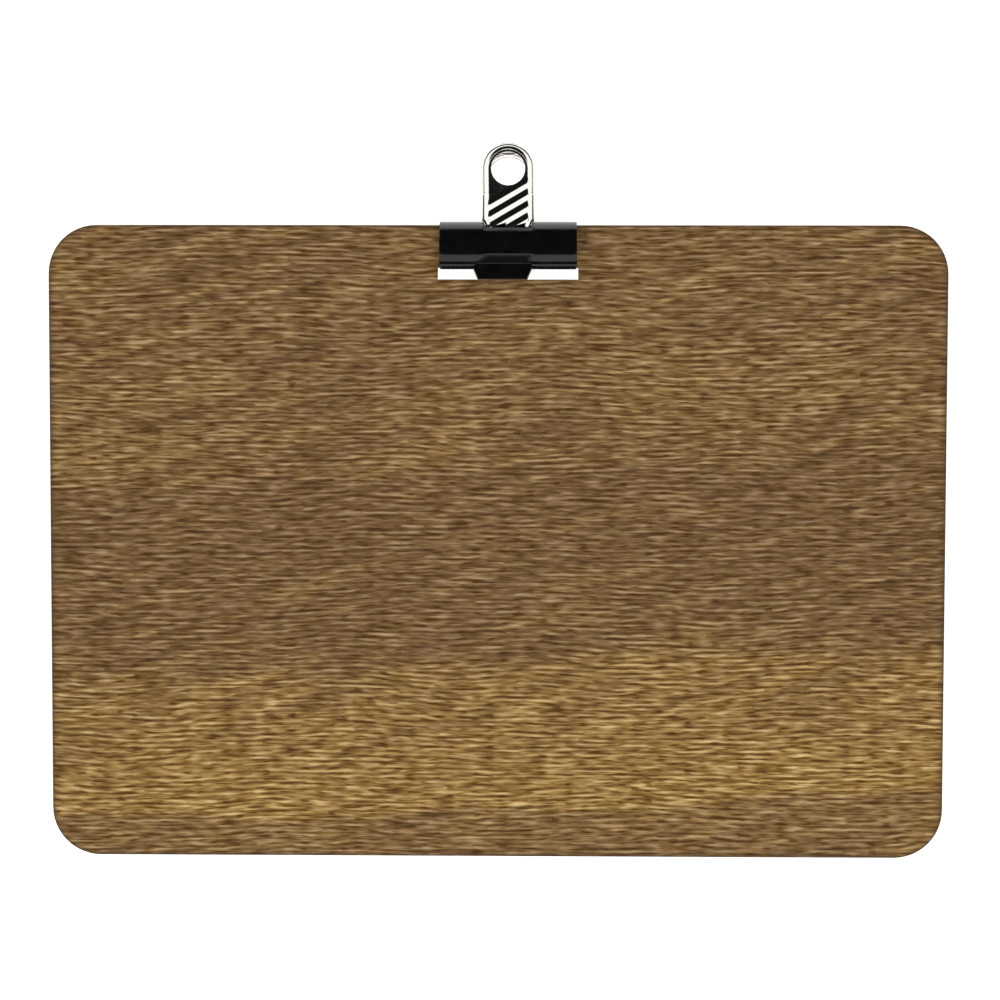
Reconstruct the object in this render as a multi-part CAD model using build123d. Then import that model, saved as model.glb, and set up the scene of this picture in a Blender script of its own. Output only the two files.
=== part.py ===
from build123d import *
import math
import os

# A landscape wooden clipboard with a bulldog clip on the middle of its top edge.
#
# Everything is first modelled in the board's own directions: X along the long edge, Y up the
# board towards the clip, Z out of the writing face, and zero at the middle of the top edge.
# At the end the whole is laid down the way it rests on a table: on the board's lower back
# edge and on the rear handle. Lengths are in millimetres and angles in degrees.

# ---- board ----
board_width = 324.0
board_height = 229.0
core_thickness = 4.8
veneer_thickness = 0.6
corner_radius = 17.5
board_half = core_thickness / 2 + veneer_thickness

# ---- where the clip sits: a little to the right of the board's middle ----
clip_offset = 3.9

# ---- spring tube: a C of spring steel, open downwards, around the board's top edge ----
tube_width = 49.3
tube_radius = 9.2
tube_sheet = 0.7
tube_top = 1.5
tube_axis_y = tube_top - tube_radius
tube_inner = tube_radius - tube_sheet
mouth_half = 4.6
bridge_half = 3.8
window_front_y = -1.3
window_half_front = 8.2
window_half_top = 10.2

# ---- tabs: the middle of each tube edge, pressed down onto the lip and bent out along it ----
crease_y = -10.7
tab_press = 50.0
tab_wide_y = -15.5
tab_end_y = -19.4
tab_half_end = 8.9
tab_half_mouth = 10.6
tab_half_crease = 8.0
tab_skew = -2.0
tab_gap = 0.15
tab_bend_radius = 0.9
tab_root = 0.6

# ---- jaws: a lip, a plate inside the tube, and a handle, from one sheet ----
jaw_sheet = 0.8
jaw_grip_gap = 0.05
jaw_bend_radius = 1.5
lip_width = 50.3
lip_start_y = -15.4
lip_end_y = -19.8
lip_flare = 22.0
nip_y = -13.4
plate_width = 48.3
shoulder_rise = 0.6
shoulder_y = -3.6
neck_half = 7.4
bend_y = -2.6
bend_z = 3.6
handle_angle = 20.0
handle_tip_y = 28.4
handle_half = 9.6
flare_end_y = 2.2
blade_start = 6.0
root_end_y = 4.0
hole_radius = 6.0
rim_width = 2.5
rim_height = 0.75
rim_root = 2.0
rim_spread = 6.9

# ---- grip ribs: slanting bars pressed across the lower half of each handle ----
rib_pitch = 4.4
rib_count = 4
rib_slant = 31.0
rib_width = 2.1
rib_height = 0.45
rib_rim_overlap = 0.4
rib_field_low = 2.2
rib_field_rise = 3.0

sheet_mid = jaw_sheet / 2
nip_z = board_half + jaw_grip_gap + sheet_mid
handle_length = (handle_tip_y - bend_y) / math.cos(math.radians(handle_angle))
hole_along = handle_length - handle_half
panel_half = handle_half - rim_width


def sheet_strip(line, thickness, width):
    """A bent sheet: a line drawn in the YZ plane, given a thickness and a width along X."""
    return extrude(Plane.YZ * trace(line, thickness), amount=width / 2, both=True)


def plan_prism(points, low_z, high_z):
    """An upright prism on an outline drawn in the board's plane."""
    face = make_face(Polyline(*points, close=True))
    return extrude(Pos(0, 0, low_z) * face, amount=high_z - low_z)


def mirrored_x(points):
    """The outline's right half, given from bottom to top, with its left half added."""
    return points + [(-x, y) for x, y in reversed(points)]


def rear(shape):
    return mirror(shape, about=Plane.XY)


def board_layer(thickness, middle_z):
    outline = RectangleRounded(board_width, board_height, corner_radius)
    placed = Pos(0, -board_height / 2, middle_z - thickness / 2) * outline
    return extrude(placed, amount=thickness)


def tube_wall(from_angle, to_angle, width):
    """A stretch of the tube's round wall; angles from the tube's top, towards the front."""
    arc = CenterArc((tube_axis_y, 0), tube_radius - tube_sheet / 2, from_angle, to_angle - from_angle)
    return sheet_strip(arc, tube_sheet, width)


def tab_outline():
    """The tab seen from the front: it widens from its crease to the tube's edge, then narrows."""
    return plan_prism(
        [
            (tab_skew - tab_half_end, tab_end_y - 1),
            (tab_skew + tab_half_end, tab_end_y - 1),
            (tab_skew + tab_half_mouth, tab_wide_y),
            (tab_half_crease, crease_y - tab_root),
            (tab_half_crease, crease_y + 1),
            (-tab_half_crease, crease_y + 1),
            (-tab_half_crease, crease_y - tab_root),
            (tab_skew - tab_half_mouth, tab_wide_y),
        ],
        0,
        2 * tube_radius,
    )


def front_tab(crease_angle):
    """The tab, pressed in from its crease until it meets the lip, and then bent out along it."""
    mid_radius = tube_radius - tube_sheet / 2
    crease_z = mid_radius * math.sin(math.radians(crease_angle))
    fall = math.tan(math.radians(tab_press))
    rise = math.tan(math.radians(lip_flare))
    stand_off = (jaw_sheet + tube_sheet) / 2 + tab_gap
    over_nip_z = nip_z + stand_off / math.cos(math.radians(lip_flare))
    knee_y = (over_nip_z + rise * nip_y - crease_z + fall * crease_y) / (fall + rise)
    crease = (crease_y, crease_z)
    knee = (knee_y, over_nip_z + rise * (nip_y - knee_y))
    end = (tab_end_y, over_nip_z + rise * (nip_y - tab_end_y))
    strip = sheet_strip(FilletPolyline(crease, knee, end, radius=tab_bend_radius), tube_sheet, tube_width)
    return strip & tab_outline()


def make_spring_tube():
    edge_angle = 180 - math.degrees(math.asin(mouth_half / tube_inner))
    crease_angle = math.degrees(math.acos((crease_y - tube_axis_y) / (tube_radius - tube_sheet / 2)))
    round_part = tube_wall(-crease_angle, crease_angle, tube_width)
    front_edge = tube_wall(crease_angle - 1, edge_angle, tube_width) - tab_outline()
    tab = front_tab(crease_angle)
    window_outline = mirrored_x([(window_half_front, window_front_y), (window_half_top, tube_top + 1)])
    window = plan_prism(window_outline, bridge_half, 2 * tube_radius)
    tube = round_part + front_edge + rear(front_edge) + tab + rear(tab)
    return tube - window - rear(window)


def jaw_bend_line():
    """The jaw's middle line in YZ, from the lip's lower edge up to the handle's tip."""
    lip_end = (lip_end_y, nip_z + (nip_y - lip_end_y) * math.tan(math.radians(lip_flare)))
    tip_z = bend_z + (handle_tip_y - bend_y) * math.tan(math.radians(handle_angle))
    corners = (lip_end, (nip_y, nip_z), (bend_y, bend_z), (handle_tip_y, tip_z))
    return FilletPolyline(*corners, radius=jaw_bend_radius)


def handle_plane():
    """The handle's middle plane: X across it, Y along it from the bend, Z outwards."""
    lean = math.radians(handle_angle)
    return Plane(origin=(0, bend_y, bend_z), x_dir=(1, 0, 0), z_dir=(0, -math.sin(lean), math.cos(lean)))


def handle_rim():
    """The rolled rim: a half-round bead around the handle's edge, narrower at the root."""
    inset = handle_half - rim_width / 2
    root_inset = neck_half - rim_width / 2
    side = Line((inset, rim_spread), (inset, hole_along))
    root = (root_inset, rim_root)
    sweep_in = Spline(root, (inset, rim_spread), tangents=[(0.5, 1), (0, 1)])
    over_tip = CenterArc((0, hole_along), inset, 0, 180)
    far_side = mirror(side, Plane.YZ)
    sweep_out = mirror(sweep_in, Plane.YZ)
    path = Wire([piece.edge() for piece in (sweep_in, side, over_tip, far_side, sweep_out)])
    start = Plane(origin=path @ 0, z_dir=path % 0, x_dir=(0, 0, 1))
    section = start * Ellipse(rim_height, rim_width / 2)
    return Pos(0, 0, sheet_mid) * sweep(section, path)


def grip_ribs():
    """Slanting half-round ribs between the rims, rising to the right."""
    bar = extrude(Plane.YZ * Ellipse(rib_width / 2, rib_height), amount=2 * panel_half, both=True)
    field_outline = [
        (neck_half - rim_width + rib_rim_overlap, rib_field_low),
        (panel_half + rib_rim_overlap, rib_field_low + rib_field_rise),
        (panel_half + rib_rim_overlap, hole_along),
    ]
    field = plan_prism(mirrored_x(field_outline), -sheet_mid, 2 * jaw_sheet)
    ribs = []
    for index in range(rib_count):
        along = rib_pitch * index
        ribs.append(Pos(0, along, sheet_mid) * Rot(Z=rib_slant) * bar & field)
    return ribs


def make_front_jaw():
    bent = sheet_strip(jaw_bend_line(), jaw_sheet, lip_width)
    plan = mirrored_x(
        [
            (lip_width / 2, lip_end_y - 1),
            (lip_width / 2, lip_start_y),
            (plate_width / 2, lip_start_y + 0.5),
            (plate_width / 2, shoulder_y),
            (neck_half, shoulder_y + shoulder_rise),
            (neck_half, window_front_y),
            (handle_half, flare_end_y),
            (handle_half, root_end_y),
        ]
    )
    lower = bent & plan_prism(plan, 0, 2 * tube_radius)
    blade = Pos(0, (blade_start + hole_along) / 2) * Rectangle(2 * handle_half, hole_along - blade_start)
    tip = Pos(0, hole_along) * Circle(handle_half)
    handle = extrude(blade + tip, amount=sheet_mid, both=True)
    handle += handle_rim()
    for rib in grip_ribs():
        handle += rib
    handle -= Pos(0, hole_along) * Cylinder(hole_radius, 4 * jaw_sheet)
    return lower + handle_plane() * handle


def lowest(shape, tilt):
    return (Rot(X=tilt) * shape).bounding_box().min.Z


def resting_tilt(board, clip):
    """The tilt about X at which the board's lower back edge and the clip touch the table."""
    flat, steep = 0.0, 10.0
    for _ in range(24):
        middle = (flat + steep) / 2
        if lowest(clip, middle) < lowest(board, middle):
            flat = middle
        else:
            steep = middle
    return (flat + steep) / 2


veneer_z = (core_thickness + veneer_thickness) / 2
front_jaw = Pos(clip_offset, 0, 0) * make_front_jaw()
nodes = {
    "board_core": board_layer(core_thickness, 0),
    "front_veneer": board_layer(veneer_thickness, veneer_z),
    "back_veneer": board_layer(veneer_thickness, -veneer_z),
    "spring_tube": Pos(clip_offset, 0, 0) * make_spring_tube(),
    "front_jaw": front_jaw,
    "rear_jaw": rear(front_jaw),
}

tilt = resting_tilt(nodes["back_veneer"], nodes["rear_jaw"])
turned = Compound(children=[Rot(X=tilt) * shape for shape in nodes.values()])
box = turned.bounding_box()
rest = Pos(0, -(box.min.Y + box.max.Y) / 2, -box.min.Z) * Rot(X=tilt)

os.makedirs("parts", exist_ok=True)
for name, shape in nodes.items():
    export_step(rest * shape, f"parts/{name}.step")
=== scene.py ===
"""Looks of the landscape wooden clipboard: oak veneered board, black spring tube, two bright jaws.

Lengths are in millimetres in the functions that shape pieces, in the board's own directions: X along
the long edge, Y up the board towards the clip, Z out of the writing face, and zero at the middle of
the top edge. TO_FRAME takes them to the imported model's frame, which is in metres.
"""

import math

import bmesh
import bpy
from mathutils import Euler, Matrix, Vector


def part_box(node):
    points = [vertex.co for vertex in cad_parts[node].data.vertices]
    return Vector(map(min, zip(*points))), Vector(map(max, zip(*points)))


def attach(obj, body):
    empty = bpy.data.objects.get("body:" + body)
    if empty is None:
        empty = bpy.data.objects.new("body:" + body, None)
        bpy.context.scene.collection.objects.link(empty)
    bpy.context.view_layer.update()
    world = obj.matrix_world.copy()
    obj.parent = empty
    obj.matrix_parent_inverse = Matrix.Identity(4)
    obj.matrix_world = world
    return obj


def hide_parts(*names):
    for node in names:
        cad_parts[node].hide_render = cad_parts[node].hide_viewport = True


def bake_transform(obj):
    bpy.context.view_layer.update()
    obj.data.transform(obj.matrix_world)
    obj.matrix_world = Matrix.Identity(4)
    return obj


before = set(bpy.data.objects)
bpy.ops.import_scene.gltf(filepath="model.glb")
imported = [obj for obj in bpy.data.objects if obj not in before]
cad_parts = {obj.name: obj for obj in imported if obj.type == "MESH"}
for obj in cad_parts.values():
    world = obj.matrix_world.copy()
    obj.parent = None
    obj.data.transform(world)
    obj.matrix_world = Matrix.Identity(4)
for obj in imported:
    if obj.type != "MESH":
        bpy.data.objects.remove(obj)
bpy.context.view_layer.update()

MM = 0.001

# ---- board, as in the CAD model ----
BOARD_WIDTH = 324.0
BOARD_HEIGHT = 229.0
CORNER_RADIUS = 17.5

# ---- spring tube ----
TUBE_WIDTH = 49.3
TUBE_RADIUS = 9.2
TUBE_SHEET = 0.7
TUBE_MID = TUBE_RADIUS - TUBE_SHEET / 2
TUBE_AXIS_Y = -7.7
BRIDGE_HALF = 3.8
WINDOW_FRONT_Y = -1.3
WINDOW_HALF_FRONT = 8.2
WINDOW_SPREAD = 2.0 / 3.8
MOUTH_HALF = 4.6
CREASE_Y = -10.7
TAB_PRESS = 50.0
TAB_WIDE_Y = -15.5
TAB_END_Y = -19.4
TAB_HALF_CREASE = 8.0
TAB_HALF_MOUTH = 10.6
TAB_HALF_END = 8.9
TAB_SKEW = -2.0
TAB_GAP = 0.15

# ---- jaws ----
JAW_SHEET = 0.8
LIP_WIDTH = 50.3
LIP_START_Y = -15.4
LIP_END_Y = -19.8
LIP_FLARE = 22.0
NIP_Y = -13.4
NIP_Z = 3.45
PLATE_WIDTH = 48.3
SHOULDER_Y = -3.6
NECK_HALF = 7.8
FLARE_END_Y = 2.0
BEND_Y = -2.6
BEND_Z = 3.6
HANDLE_ANGLE = 20.0
HANDLE_TIP_Y = 28.4
HANDLE_HALF = 9.6
HANDLE_LENGTH = (HANDLE_TIP_Y - BEND_Y) / math.cos(math.radians(HANDLE_ANGLE))
HOLE_ALONG = HANDLE_LENGTH - HANDLE_HALF
HOLE_RADIUS = 6.0
RIM_WIDTH = 2.5
RIM_HEIGHT = 0.66
RIM_ROLL = 0.55
ROLL_INSET = 0.45
HANDLE_MID_HALF = HANDLE_HALF - ROLL_INSET
RIM_MID_WIDTH = RIM_WIDTH - ROLL_INSET
RIB_PITCH = 4.4
RIB_COUNT = 4
RIB_SLANT = 31.0
RIB_HEIGHT = 0.26
RIB_TOP_CREST = 14.3
PANEL_HALF = HANDLE_HALF - RIM_WIDTH

EDGE_ROUNDING = 0.14

# ---- wood figure ----
LINE_SPACING = 2.0
FLAME_SLOPE = 0.34
BAND_SLOPE = 0.045
BAND_SHIFT = 14.5

# ---- studio ----
CARD_RADIANCE = 1.3
CARD_DISTANCE = 0.4
LAMP_ENERGY = 30.8
TABLE_GLOW = 0.60


# ---------------------------------------------------------------- frame


def board_matrix():
    """The board's own directions, in millimetres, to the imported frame, in metres."""
    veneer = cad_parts["front_veneer"].data
    face = max(veneer.polygons, key=lambda f: f.area if f.normal.z > 0 else 0.0)
    out = face.normal.normalized()
    up = Vector((0.0, out.z, -out.y))
    top = max(v.co.dot(up) for v in veneer.vertices)
    front = max(v.co.dot(out) for v in veneer.vertices)
    back = min(v.co.dot(out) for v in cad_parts["back_veneer"].data.vertices)
    origin = up * top + out * (front + back) / 2
    turn = Matrix(((1, 0, 0), up, out)).transposed().to_4x4()
    return Matrix.Translation(origin) @ turn @ Matrix.Scale(MM, 4)


def clip_middle():
    """How far the clip sits to the right of the board's middle, in millimetres."""
    low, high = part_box("spring_tube")
    return (low.x + high.x) / 2 / MM


TO_FRAME = board_matrix()
CLIP_TO_FRAME = TO_FRAME @ Matrix.Translation((clip_middle(), 0, 0))
REAR = Matrix.Scale(-1, 4, (0, 0, 1))


# ---------------------------------------------------------------- sheet metal


def spaced(start, end, step):
    """Values from start to end, evenly spaced and at most a step apart."""
    count = max(1, math.ceil(abs(end - start) / step))
    return [start + (end - start) * i / count for i in range(count + 1)]


def smooth_step(low, high, value):
    share = min(1.0, max(0.0, (value - low) / (high - low)))
    return share * share * (3 - 2 * share)


def filleted(points, radius, step):
    """A line in the YZ plane through the points, its corners rounded, as closely spaced points."""
    line = [Vector(points[0])]
    for before, corner, after in zip(points, points[1:], points[2:]):
        corner = Vector(corner)
        arrive = (corner - Vector(before)).normalized()
        leave = (Vector(after) - corner).normalized()
        turn = arrive.angle(leave)
        cut = radius * math.tan(turn / 2)
        first = corner - arrive * cut
        last = corner + leave * cut
        count = max(3, math.ceil(math.degrees(turn) / 4))
        arc = []
        for i in range(count + 1):
            share = i / count
            arc.append(first.lerp(corner, share).lerp(corner.lerp(last, share), share))
        line += arc
    line.append(Vector(points[-1]))
    dense = [line[0]]
    for a, b in zip(line, line[1:]):
        dense += [a.lerp(b, t) for t in spaced(0, 1, step / max((b - a).length, step))[1:]]
    return dense


class Sheet:
    """A pressed metal sheet: patches of its middle surface, thickened once they are all there."""

    def __init__(self):
        self.mesh = bmesh.new()

    def patch(self, rows):
        verts = [[self.mesh.verts.new(p) for p in row] for row in rows]
        for low, high in zip(verts, verts[1:]):
            for i in range(len(low) - 1):
                self.mesh.faces.new((low[i], low[i + 1], high[i + 1], high[i]))

    def piece(self, name, thickness, placing, material):
        """The finished piece as an object, its edges rounded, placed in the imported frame."""
        bmesh.ops.remove_doubles(self.mesh, verts=self.mesh.verts, dist=0.002)
        bmesh.ops.recalc_face_normals(self.mesh, faces=self.mesh.faces)
        data = bpy.data.meshes.new(name)
        self.mesh.to_mesh(data)
        self.mesh.free()
        rough = bpy.data.objects.new(name + "_rough", data)
        bpy.context.scene.collection.objects.link(rough)
        thicken = rough.modifiers.new("thickness", "SOLIDIFY")
        thicken.thickness = thickness
        thicken.offset = 0.0
        thicken.use_even_offset = True
        ease = rough.modifiers.new("rounding", "BEVEL")
        ease.width = EDGE_ROUNDING
        ease.segments = 2
        ease.limit_method = "ANGLE"
        ease.angle_limit = math.radians(50)
        ease.use_clamp_overlap = True
        evaluated = rough.evaluated_get(bpy.context.evaluated_depsgraph_get())
        final = bpy.data.meshes.new_from_object(evaluated)
        bpy.data.objects.remove(rough)
        final.name = name
        final.transform(placing)
        solid = bmesh.new()
        solid.from_mesh(final)
        bmesh.ops.recalc_face_normals(solid, faces=solid.faces)
        solid.to_mesh(final)
        solid.free()
        final.shade_smooth()
        final.set_sharp_from_angle(angle=math.radians(42))
        final.materials.clear()
        final.materials.append(material)
        piece = bpy.data.objects.new(name, final)
        bpy.context.scene.collection.objects.link(piece)
        return piece


# ---------------------------------------------------------------- spring tube


def on_tube(angle):
    """A point of the tube's middle surface; the angle goes from its top towards the front."""
    return Vector((TUBE_AXIS_Y + TUBE_MID * math.cos(angle), TUBE_MID * math.sin(angle)))


def tab_sides(y):
    """The tab's left and right edge at this height, from its crease to its end."""
    if y >= TAB_WIDE_Y:
        share = (CREASE_Y - y) / (CREASE_Y - TAB_WIDE_Y)
        half = TAB_HALF_CREASE + (TAB_HALF_MOUTH - TAB_HALF_CREASE) * share
        skew = TAB_SKEW * share
    else:
        share = (TAB_WIDE_Y - y) / (TAB_WIDE_Y - TAB_END_Y)
        half = TAB_HALF_MOUTH + (TAB_HALF_END - TAB_HALF_MOUTH) * share
        skew = TAB_SKEW
    return skew - half, skew + half


def strip_row(point, left, right, step):
    return [Vector((x, point.x, point.y)) for x in spaced(left, right, step)]


def tab_line(crease):
    """The tab's middle line: pressed in from its crease until it meets the lip, then out along it."""
    fall = math.tan(math.radians(TAB_PRESS))
    rise = math.tan(math.radians(LIP_FLARE))
    stand_off = (JAW_SHEET + TUBE_SHEET) / 2 + TAB_GAP
    over_nip_z = NIP_Z + stand_off / math.cos(math.radians(LIP_FLARE))
    knee_y = (over_nip_z + rise * NIP_Y - crease.y + fall * crease.x) / (fall + rise)
    knee = Vector((knee_y, over_nip_z + rise * (NIP_Y - knee_y)))
    end = Vector((TAB_END_Y, over_nip_z + rise * (NIP_Y - TAB_END_Y)))
    return filleted([crease, knee, end], 0.9, 0.5)


def half_tube(name, placing, material):
    """The tube from the middle of its bridge to its front edge, with its window and its tab."""
    sheet = Sheet()
    half_width = TUBE_WIDTH / 2
    bridge = math.asin(BRIDGE_HALF / TUBE_MID)
    window = math.acos((WINDOW_FRONT_Y - TUBE_AXIS_Y) / TUBE_MID)
    crease = math.acos((CREASE_Y - TUBE_AXIS_Y) / TUBE_MID)
    edge = math.pi - math.asin(MOUTH_HALF / (TUBE_RADIUS - TUBE_SHEET))
    step = math.radians(2.5)
    side_cells, middle_cells = 12, 16

    def window_half(y):
        return WINDOW_HALF_FRONT + (y - WINDOW_FRONT_Y) * WINDOW_SPREAD

    def rows(low, high, inner_edge, part):
        made = []
        for angle in spaced(low, high, step):
            point = on_tube(angle)
            left, right = inner_edge(point.x)
            spans = {"left": (-half_width, left), "middle": (left, right), "right": (right, half_width)}
            ends = spans[part]
            cells = middle_cells if part == "middle" else side_cells
            made.append(strip_row(point, *ends, (ends[1] - ends[0]) / cells * 1.001))
        return made

    def straight(half):
        return lambda y: (-half, half)

    def easing(y):
        """Below the window the inner seam runs straight from its corner to the crease."""
        share = (WINDOW_FRONT_Y - y) / (WINDOW_FRONT_Y - CREASE_Y)
        half = WINDOW_HALF_FRONT + (TAB_HALF_CREASE - WINDOW_HALF_FRONT) * share
        return -half, half

    top_half = window_half(on_tube(bridge).x)
    for part in ("left", "middle", "right"):
        sheet.patch(rows(0.0, bridge, straight(top_half), part))
        if part != "middle":
            sheet.patch(rows(bridge, window, lambda y: (-window_half(y), window_half(y)), part))
        sheet.patch(rows(window, crease, easing, part))
        if part != "middle":
            sheet.patch(rows(crease, edge, lambda y: tab_sides(max(y, TAB_WIDE_Y)), part))
    tab = []
    for point in tab_line(on_tube(crease)):
        left, right = tab_sides(point.x)
        tab.append(strip_row(point, left, right, (right - left) / middle_cells * 1.001))
    sheet.patch(tab)
    return sheet.piece(name, TUBE_SHEET, placing, material)


# ---------------------------------------------------------------- jaws


def handle_half_at(along):
    """Half the handle's width: the neck through the window, the flare, then the straight sides."""
    lean = math.cos(math.radians(HANDLE_ANGLE))
    flare_start = (WINDOW_FRONT_Y - BEND_Y) / lean
    flare_end = (FLARE_END_Y - BEND_Y) / lean
    share = min(1.0, max(0.0, (along - flare_start) / (flare_end - flare_start)))
    return NECK_HALF + (HANDLE_MID_HALF - NECK_HALF) * share


def rim_bead(inward):
    """Height of the rolled rim at a distance inward from the handle's edge: a tight roll, then a slope."""
    if not 0 < inward < RIM_MID_WIDTH:
        return 0.0
    if inward < RIM_ROLL:
        return RIM_HEIGHT * math.sqrt(1 - (1 - inward / RIM_ROLL) ** 2)
    share = (RIM_MID_WIDTH - inward) / (RIM_MID_WIDTH - RIM_ROLL)
    return RIM_HEIGHT * (1.25 * share - 0.25 * share * share) * smooth_step(0.0, 0.08, share)


def rib_wave(x, along):
    """Height of the slanting grip ribs, which rise to the right between the rims."""
    phase = (RIB_TOP_CREST - (along - x * math.tan(math.radians(RIB_SLANT)))) / RIB_PITCH
    if not -0.5 < phase < RIB_COUNT - 0.5:
        return 0.0
    wave = RIB_HEIGHT * (1 + math.cos(2 * math.pi * phase)) / 2
    return wave * smooth_step(PANEL_HALF + 0.1, PANEL_HALF - 0.2, abs(x))


def handle_point(x, along):
    """A point of the handle's middle surface, its rim and ribs pressed out of the sheet."""
    if along > HOLE_ALONG:
        inward = HANDLE_MID_HALF - math.hypot(x, along - HOLE_ALONG)
    else:
        inward = handle_half_at(along) - abs(x)
    pressed = smooth_step(0.3, 0.9, along)
    out = (rim_bead(inward) + rib_wave(x, along)) * pressed
    lean = math.radians(HANDLE_ANGLE)
    y = BEND_Y + along * math.cos(lean) - out * math.sin(lean)
    z = BEND_Z + along * math.sin(lean) + out * math.cos(lean)
    return Vector((x, y, z))


def ring_point(angle, share):
    """From the hole's edge, share 0, to the handle's outline or the square round the hole, share 1."""
    c, s = math.cos(angle), math.sin(angle)
    reach = HANDLE_MID_HALF if s >= 0 else HANDLE_MID_HALF / max(abs(c), abs(s))
    r = HOLE_RADIUS + (reach - HOLE_RADIUS) * share
    return handle_point(r * c, HOLE_ALONG + r * s)


def handle_patches(sheet, start, cells):
    """The handle from where its bend ends: columns up to the hole, then rings round it."""
    shares = spaced(0, 1, 1 / 20)
    for low, high in ((-45.0, 225.0), (225.0, 315.0)):
        turns = [math.radians(a) for a in spaced(low, high, (315.0 - 225.0) / cells)]
        sheet.patch([[ring_point(a, share) for a in turns] for share in shares])
    columns = [math.tan(math.radians(a)) for a in spaced(-45.0, 45.0, 90.0 / cells)]
    rows = []
    for along in spaced(start, HOLE_ALONG - HANDLE_MID_HALF, 0.25):
        half = handle_half_at(along)
        rows.append([handle_point(half * c, along) for c in columns])
    sheet.patch(rows)
    return [handle_half_at(start) * c for c in columns]


def jaw(name, placing, material):
    """One jaw: lip, plate inside the tube, neck through the window, and handle."""
    sheet = Sheet()
    bend = math.radians(HANDLE_ANGLE)
    lip_end = (LIP_END_Y, NIP_Z + (NIP_Y - LIP_END_Y) * math.tan(math.radians(LIP_FLARE)))
    elbow = (BEND_Y, BEND_Z)
    beyond = (BEND_Y + math.cos(bend), BEND_Z + math.sin(bend))
    line = filleted([lip_end, (NIP_Y, NIP_Z), elbow, beyond], 1.5, 0.5)
    start = 0.3
    line = [p for p in line if p.x < BEND_Y + start * math.cos(bend) - 0.05]
    neck = handle_patches(sheet, start, 72)
    line.append(Vector((BEND_Y + start * math.cos(bend), BEND_Z + start * math.sin(bend))))

    plate_half = PLATE_WIDTH / 2
    shoulder = min(range(len(line)), key=lambda i: abs(line[i].x - SHOULDER_Y))
    sheet.patch([[Vector((x, p.x, p.y)) for x in neck] for p in line])
    for side in (-1, 1):
        rows = []
        for p in line[: shoulder + 1]:
            flare = smooth_step(LIP_START_Y + 0.5, LIP_START_Y, p.x)
            outer = plate_half + (LIP_WIDTH / 2 - plate_half) * flare
            rows.append([Vector((x, p.x, p.y)) for x in spaced(side * neck[-1], side * outer, 1.1)])
        longest = max(len(row) for row in rows)
        rows = [[Vector((a, r[0].y, r[0].z)) for a in spread(r[0].x, r[-1].x, longest)] for r in rows]
        sheet.patch(rows)
    return sheet.piece(name, JAW_SHEET, placing, material)


def spread(start, end, count):
    """This many values from start to end, evenly spaced."""
    return [start + (end - start) * i / (count - 1) for i in range(count)]


# ---------------------------------------------------------------- materials


def srgb(*levels):
    """A colour in linear light from its 0 to 255 display levels."""
    linear = [((v / 255 + 0.055) / 1.055) ** 2.4 if v > 10 else v / 255 / 12.92 for v in levels]
    return (*linear, 1.0)


class Nodes:
    """A node tree, with short calls to add and join nodes."""

    def __init__(self, tree):
        self.tree = tree

    def put(self, socket, value):
        if isinstance(value, bpy.types.NodeSocket):
            self.tree.links.new(value, socket)
        else:
            socket.default_value = value

    def node(self, kind, inputs=None, **settings):
        made = self.tree.nodes.new("ShaderNode" + kind)
        for key, value in settings.items():
            setattr(made, key, value)
        for key, value in (inputs or {}).items():
            self.put(made.inputs[key], value)
        return made

    def math(self, operation, a, b=0.0, c=0.0):
        return self.node("Math", {0: a, 1: b, 2: c}, operation=operation).outputs[0]

    def position(self):
        return self.node("TexCoord").outputs["Object"]

    def noise(self, vector, scale=1.0, detail=2.0, roughness=0.5, distortion=0.0):
        settings = {"Vector": vector, "Scale": scale, "Detail": detail, "Roughness": roughness}
        settings["Distortion"] = distortion
        return self.node("TexNoise", settings).outputs["Fac"]

    def grid(self, x, y, z=0.0):
        return self.node("CombineXYZ", {0: x, 1: y, 2: z}).outputs[0]

    def ramp(self, value, stops):
        """A colour ramp from (place, colour) stops."""
        made = self.node("ValToRGB", {"Fac": value})
        elements = made.color_ramp.elements
        while len(elements) < len(stops):
            elements.new(0.5)
        for element, (place, colour) in zip(elements, stops):
            element.position = place
            element.color = colour
        return made.outputs["Color"]

    def level(self, value, stops):
        """A grey ramp from (place, level) stops, as a number."""
        return self.ramp(value, [(place, (v, v, v, 1.0)) for place, v in stops])

    def mix(self, share, a, b, blend="MIX"):
        made = self.node("Mix", data_type="RGBA", blend_type=blend)
        self.put(made.inputs[0], share)
        self.put(made.inputs[6], a)
        self.put(made.inputs[7], b)
        return made.outputs[2]

    def bump(self, height, distance, strength):
        inputs = {"Height": height, "Distance": distance, "Strength": strength}
        return self.node("Bump", inputs).outputs["Normal"]


class Shader(Nodes):
    """A new material's nodes, round its one surface shader."""

    def __init__(self, name):
        self.material = bpy.data.materials.new(name)
        self.material.use_nodes = True
        super().__init__(self.material.node_tree)
        self.surface = next(n for n in self.tree.nodes if n.type == "BSDF_PRINCIPLED")

    def set(self, **inputs):
        for key, value in inputs.items():
            self.put(self.surface.inputs[key.replace("_", " ")], value)


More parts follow.
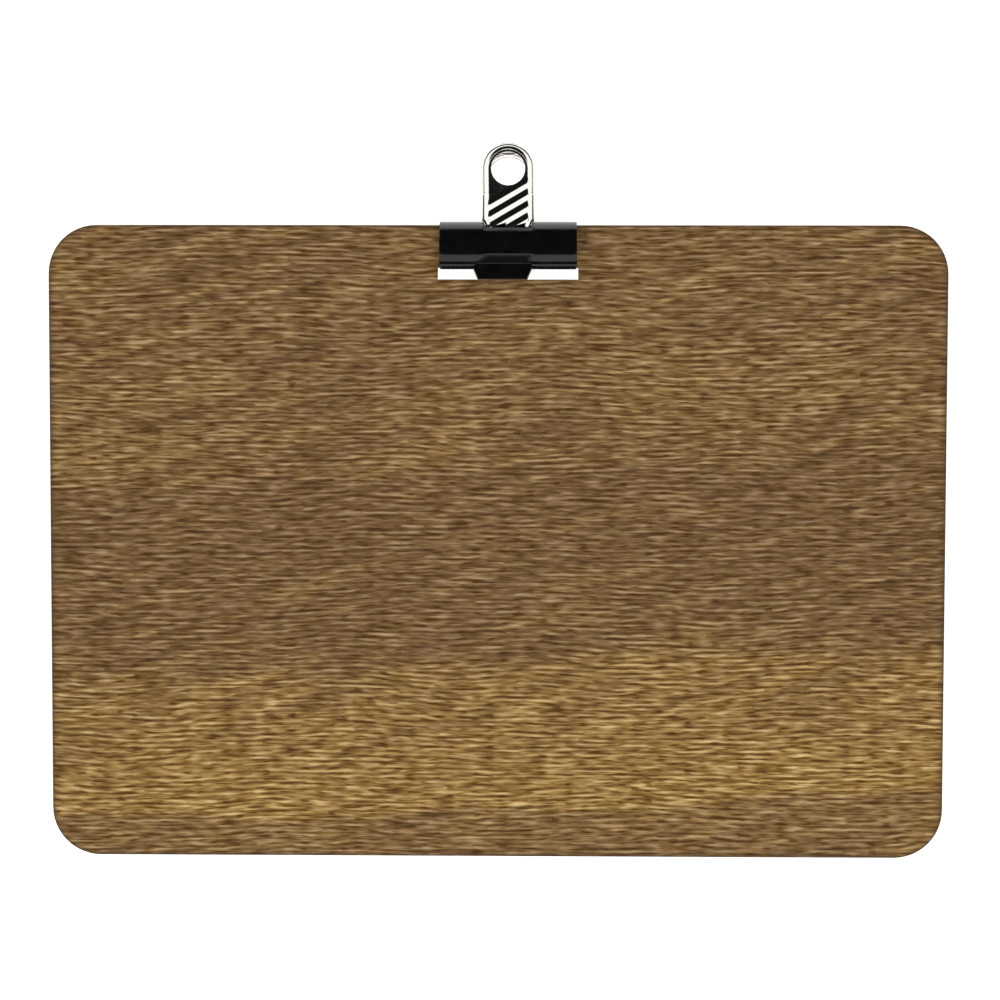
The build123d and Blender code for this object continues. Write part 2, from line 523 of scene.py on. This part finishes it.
def oak_material(name, seed, flip):
    """Stained oak veneer: short dark pores along X, golden and brown growth bands, flame figure."""
    s = Shader(name)
    split = s.node("SeparateXYZ", {0: s.position()})
    x = s.math("MULTIPLY", split.outputs[0], 1 / MM)
    y = s.math("MULTIPLY", split.outputs[1], flip / MM)

    # the lines of the grain waver slowly along their length
    def patches(length, width, across, offset, detail):
        """Soft patches of this length and width, in millimetres."""
        along = s.math("MULTIPLY", x, 1 / length)
        place = s.grid(along, s.math("MULTIPLY", across, 1 / width), seed + offset)
        return s.noise(place, detail=detail)

    slow = patches(95, 60, y, 0, 1.5)
    quick = patches(30, 14, y, 7, 1.0)
    drift = s.math("ADD", s.math("MULTIPLY", slow, 9.0), s.math("MULTIPLY", quick, 0.7))
    grain_y = s.math("ADD", y, drift)

    def streaks(length, width, offset, detail=0.0):
        """Strokes along the grain, from about -0.5 to 0.5."""
        return s.math("SUBTRACT", patches(length, width, grain_y, offset, detail), 0.5)

    short_pores = streaks(5.6, 1.05, 13)
    long_pores = streaks(15.0, 1.10, 29)
    fibres = streaks(10.0, 0.50, 31)
    even = s.math("MULTIPLY", grain_y, 2 * math.pi / LINE_SPACING)
    turns = s.math("ADD", even, s.math("MULTIPLY", streaks(38.0, 9.0, 5), 6.5))
    lines = s.math("SINE", turns)
    open_pores = s.math("ADD", streaks(4.8, 0.74, 83), 0.5)
    ticks = s.level(open_pores, [(0.0, 1.0), (0.32, 1.0), (0.41, 0.0), (1.0, 0.0)])

    # flames: slanting patches, rising to the right
    lean = s.math("ADD", grain_y, s.math("MULTIPLY", x, -FLAME_SLOPE))
    flame = s.math("SUBTRACT", patches(45, 5.5, lean, 41, 2.0), 0.5)
    cloud = s.math("SUBTRACT", patches(120, 42, y, 57, 2.0), 0.5)

    # growth bands across the board: each one brightens downwards and ends at a sharp line
    level_y = s.math("SUBTRACT", y, s.math("MULTIPLY", x, BAND_SLOPE))
    down = s.math("SUBTRACT", BOARD_HEIGHT / 2 - BAND_SHIFT, level_y)
    wander = s.math("MULTIPLY", s.math("SUBTRACT", slow, 0.5), 22.0)
    place = s.math("MULTIPLY", s.math("ADD", down, wander), 1 / BOARD_HEIGHT)
    band = s.level(
        place,
        [
            (0.0, 0.18),
            (0.20, 0.24),
            (0.375, 0.30),
            (0.390, 0.04),
            (0.56, 0.02),
            (0.68, 0.16),
            (0.70, 0.60),
            (0.86, 0.82),
            (0.915, 1.0),
            (0.928, 0.34),
            (1.0, 0.28),
        ],
    )
    gold = s.math("ADD", band, s.math("MULTIPLY", flame, 1.15))
    gold = s.math("ADD", gold, s.math("MULTIPLY", cloud, 0.6))
    gold = s.node("Clamp", {"Value": gold}).outputs[0]

    # light and dark strokes of the pores
    light = 0.5
    for strokes, strength in (
        (short_pores, 0.72),
        (long_pores, 0.72),
        (fibres, 0.38),
        (lines, 0.10),
        (flame, 0.15),
        (ticks, -0.27),
    ):
        light = s.math("ADD", light, s.math("MULTIPLY", strokes, strength))
    light = s.node("Clamp", {"Value": light}).outputs[0]

    brown = s.ramp(
        light,
        [
            (0.10, srgb(74, 46, 14)),
            (0.385, srgb(103, 76, 43)),
            (0.50, srgb(115, 87, 54)),
            (0.615, srgb(128, 99, 66)),
            (0.90, srgb(165, 136, 102)),
        ],
    )
    golden = s.ramp(
        light,
        [
            (0.10, srgb(86, 54, 12)),
            (0.385, srgb(134, 100, 47)),
            (0.50, srgb(154, 119, 66)),
            (0.615, srgb(174, 140, 84)),
            (0.90, srgb(220, 188, 130)),
        ],
    )
    colour = s.mix(gold, brown, golden)

    # the cut edge has scorched the face's outline a little
    inner_x = BOARD_WIDTH / 2 - CORNER_RADIUS
    inner_y = BOARD_HEIGHT / 2 - CORNER_RADIUS
    centre_y = s.math("SUBTRACT", split.outputs[1], board_middle_y())
    dx = s.math("MAXIMUM", s.math("SUBTRACT", s.math("ABSOLUTE", x), inner_x), 0.0)
    dy = s.math("SUBTRACT", s.math("ABSOLUTE", s.math("MULTIPLY", centre_y, 1 / MM)), inner_y)
    dy = s.math("MAXIMUM", dy, 0.0)
    reach = s.node("VectorMath", {0: s.grid(dx, dy)}, operation="LENGTH").outputs["Value"]
    scorch = s.level(
        s.math("MULTIPLY", reach, 1 / CORNER_RADIUS),
        [(0.0, 0.0), (0.86, 0.0), (0.90, 0.15), (0.94, 0.4), (0.965, 0.8), (1.0, 1.0)],
    )
    colour = s.mix(s.math("MULTIPLY", scorch, 0.7), colour, srgb(66, 50, 36))

    height = s.math("ADD", s.math("MULTIPLY", light, 0.7), s.math("MULTIPLY", fibres, 0.3))
    s.set(Base_Color=colour)
    s.set(Roughness=s.level(light, [(0.0, 0.62), (1.0, 0.46)]))
    s.set(Normal=s.bump(height, 0.00006, 0.55))
    s.set(Specular_IOR_Level=0.25)
    return s.material


def board_middle_y():
    """The middle of the board across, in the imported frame."""
    low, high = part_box("front_veneer")
    return (low.y + high.y) / 2


def fibreboard_material():
    """The core's laser-cut edge: scorched dark brown, with fine fibres and fine lines across."""
    s = Shader("scorched_fibreboard")
    place = s.position()
    speck = s.noise(place, scale=1600.0, detail=3.0, roughness=0.65)
    stretched = s.node("Mapping", {"Vector": place, "Scale": (900.0, 900.0, 60.0)}).outputs[0]
    stripes = s.noise(stretched, detail=2.0)
    tone = s.math("ADD", s.math("MULTIPLY", speck, 0.6), s.math("MULTIPLY", stripes, 0.4))
    colour = s.ramp(tone, [(0.3, srgb(30, 20, 14)), (0.52, srgb(54, 38, 26)), (0.75, srgb(88, 64, 43))])
    s.set(Base_Color=colour, Roughness=0.78, Specular_IOR_Level=0.25)
    s.set(Normal=s.bump(tone, 0.00008, 0.7))
    return s.material


def enamel_material():
    """Gloss black stoving enamel on spring steel, with a faint orange peel and fine handling marks."""
    s = Shader("black_enamel")
    place = s.position()
    peel = s.noise(place, scale=900.0, detail=1.0)
    marks = s.noise(place, scale=240.0, detail=4.0, roughness=0.7)
    s.set(Base_Color=s.ramp(marks, [(0.3, srgb(6, 6, 7)), (0.8, srgb(16, 16, 17))]))
    s.set(Roughness=s.level(marks, [(0.35, 0.10), (0.75, 0.19)]))
    s.set(Normal=s.bump(peel, 0.000012, 0.5), Specular_IOR_Level=0.5)
    return s.material


def nickel_material():
    """Bright nickel plate: nearly a mirror, with fine rolling lines and soft cloudy wear."""
    s = Shader("bright_nickel")
    place = s.position()
    stretched = s.node("Mapping", {"Vector": place, "Scale": (2600.0, 160.0, 160.0)}).outputs[0]
    lines = s.noise(stretched, detail=3.0)
    cloud = s.noise(place, scale=170.0, detail=4.0, roughness=0.65)
    s.set(Base_Color=s.ramp(cloud, [(0.3, srgb(240, 237, 230)), (0.75, srgb(250, 248, 243))]))
    s.set(Metallic=1.0, Roughness=s.level(cloud, [(0.35, 0.045), (0.75, 0.10)]))
    s.set(Normal=s.bump(lines, 0.000004, 0.5))
    return s.material


def paint(node, material):
    """Gives a CAD node a better material."""
    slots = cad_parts[node].data.materials
    slots.clear()
    slots.append(material)


# ---------------------------------------------------------------- studio


def studio_world():
    """A bright ring of card, open to a dark room above, lower behind the clip, dark low at the lip's side."""
    world = bpy.data.worlds.new("studio")
    bpy.context.scene.world = world
    world.use_nodes = True
    tree = world.node_tree
    background = next(n for n in tree.nodes if n.type == "BACKGROUND")
    w = Nodes(tree)
    split = w.node("SeparateXYZ", {0: w.node("TexCoord").outputs["Generated"]})
    x, y, z = split.outputs
    high_card = w.level(z, [(0.0, 1.0), (0.742, 1.0), (0.768, 0.0), (1.0, 0.0)])
    low_card = w.level(z, [(0.0, 1.0), (0.10, 1.0), (0.16, 0.0), (1.0, 0.0)])
    flat = w.math("SQRT", w.math("ADD", w.math("MULTIPLY", x, x), w.math("MULTIPLY", y, y)))
    heading = w.math("DIVIDE", y, w.math("MAXIMUM", flat, 0.0001))
    sides = w.level(heading, [(0.0, 1.0), (0.80, 1.0), (0.90, 0.0), (1.0, 0.0)])
    away = w.math("MULTIPLY", heading, -1.0)
    towards_lip = w.level(away, [(0.0, 0.0), (0.45, 0.0), (0.60, 1.0), (1.0, 1.0)])
    low_gap = w.level(z, [(0.0, 1.0), (0.25, 1.0), (0.30, 0.0), (1.0, 0.0)])
    card = w.math("MAXIMUM", low_card, w.math("MULTIPLY", high_card, sides))
    card = w.math("MULTIPLY", card, w.math("SUBTRACT", 1.0, w.math("MULTIPLY", towards_lip, low_gap)))
    room = w.math("ADD", w.math("MULTIPLY", card, 1.10), 0.008)
    tree.links.new(room, background.inputs["Color"])
    background.inputs["Strength"].default_value = 1.0


def overhead_light():
    """A large soft light above; the metal doesn't mirror it."""
    data = bpy.data.lights.new("overhead", "AREA")
    data.shape = "DISK"
    data.size = 2.4
    data.energy = LAMP_ENERGY
    lamp = bpy.data.objects.new("overhead", data)
    lamp.location = (0.0, -0.3, 2.2)
    lamp.rotation_euler = (math.radians(-7.8), 0, 0)
    lamp.visible_glossy = False
    bpy.context.scene.collection.objects.link(lamp)


def mirror_card(name, spot, heading, distance, size, pieces):
    """A white card that lights only these pieces, square to a heading in the frame from a spot."""
    data = bpy.data.lights.new(name, "AREA")
    data.shape = "RECTANGLE"
    data.size, data.size_y = size
    data.energy = CARD_RADIANCE * math.pi * size[0] * size[1]
    card = bpy.data.objects.new(name, data)
    towards = Vector(heading).normalized()
    card.location = spot + towards * distance
    card.rotation_euler = towards.to_track_quat("Z", "Y").to_euler()
    card.visible_camera = False
    bpy.context.scene.collection.objects.link(card)
    seen_by = bpy.data.collections.new(name + "_pieces")
    for piece in pieces:
        seen_by.objects.link(piece)
    card.light_linking.receiver_collection = seen_by
    card.light_linking.blocker_collection = seen_by


def mirror_cards():
    """One high card behind the clip for the flared lip, and one for the inside of the rear handle."""
    front, rear = (bpy.data.objects[side + "_lever_plate"] for side in ("front", "rear"))
    lip = CLIP_TO_FRAME @ Vector((0, (NIP_Y + LIP_END_Y) / 2, NIP_Z + 2.0))
    mirror_card("lip_card", lip, (0, 0.68, 0.73), CARD_DISTANCE, (0.7, 0.30), [front])
    handle = CLIP_TO_FRAME @ Vector((0, 24.0, -13.0))
    mirror_card("handle_card", handle, (0, 0.68, 0.73), CARD_DISTANCE, (0.4, 0.2), [rear])


def floor():
    """A plain white table, lit a little from within as a product photographer's light table is."""
    data = bpy.data.meshes.new("floor")
    reach = 30.0
    corners = [(-reach, -reach, 0), (reach, -reach, 0), (reach, reach, 0), (-reach, reach, 0)]
    data.from_pydata(corners, [], [(0, 1, 2, 3)])
    s = Shader("white_table")
    grain = s.noise(s.position(), scale=40.0, detail=2.0)
    s.set(Base_Color=s.ramp(grain, [(0.0, srgb(246, 246, 244)), (1.0, srgb(252, 252, 250))]))
    s.set(Roughness=0.9, Specular_IOR_Level=0.0)
    s.set(Emission_Color=(1.0, 1.0, 0.99, 1.0), Emission_Strength=TABLE_GLOW)
    data.materials.append(s.material)
    table = bpy.data.objects.new("floor", data)
    bpy.context.scene.collection.objects.link(table)


def camera():
    """Straight above the board's middle, a little to the right of it."""
    data = bpy.data.cameras.new("camera")
    data.sensor_width = 36.0
    data.lens = 76.38
    eye = bpy.data.objects.new("camera", data)
    eye.location = (0.01124, 0.00076, 0.780)
    eye.rotation_euler = Euler([math.radians(a) for a in (0.01, 0.755, 0.144)], "XYZ")
    bpy.context.scene.collection.objects.link(eye)
    bpy.context.scene.camera = eye


# ---------------------------------------------------------------- the pieces


def tube_pieces(material):
    """Two halves that meet on the bridge; the CAD model's spring tube is hidden."""
    for side, mirror, lever in (("front", Matrix(), "front_lever"), ("rear", REAR, "rear_lever")):
        placing = CLIP_TO_FRAME @ mirror
        half = half_tube(side + "_spring_wall", placing, material)
        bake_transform(half)
        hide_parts("spring_tube")


def jaw_pieces(material):
    for side, mirror, lever in (("front", Matrix(), "front_lever"), ("rear", REAR, "rear_lever")):
        piece = jaw(side + "_lever_plate", CLIP_TO_FRAME @ mirror, material)
        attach(piece, lever)
        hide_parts(side + "_jaw")


def main():
    bpy.context.scene.view_settings.view_transform = "Standard"
    camera()
    studio_world()
    overhead_light()
    floor()
    paint("board_core", fibreboard_material())
    paint("front_veneer", oak_material("oak_front", 3.0, 1.0))
    paint("back_veneer", oak_material("oak_back", 71.0, -1.0))
    tube_pieces(enamel_material())
    jaw_pieces(nickel_material())
    mirror_cards()


main()
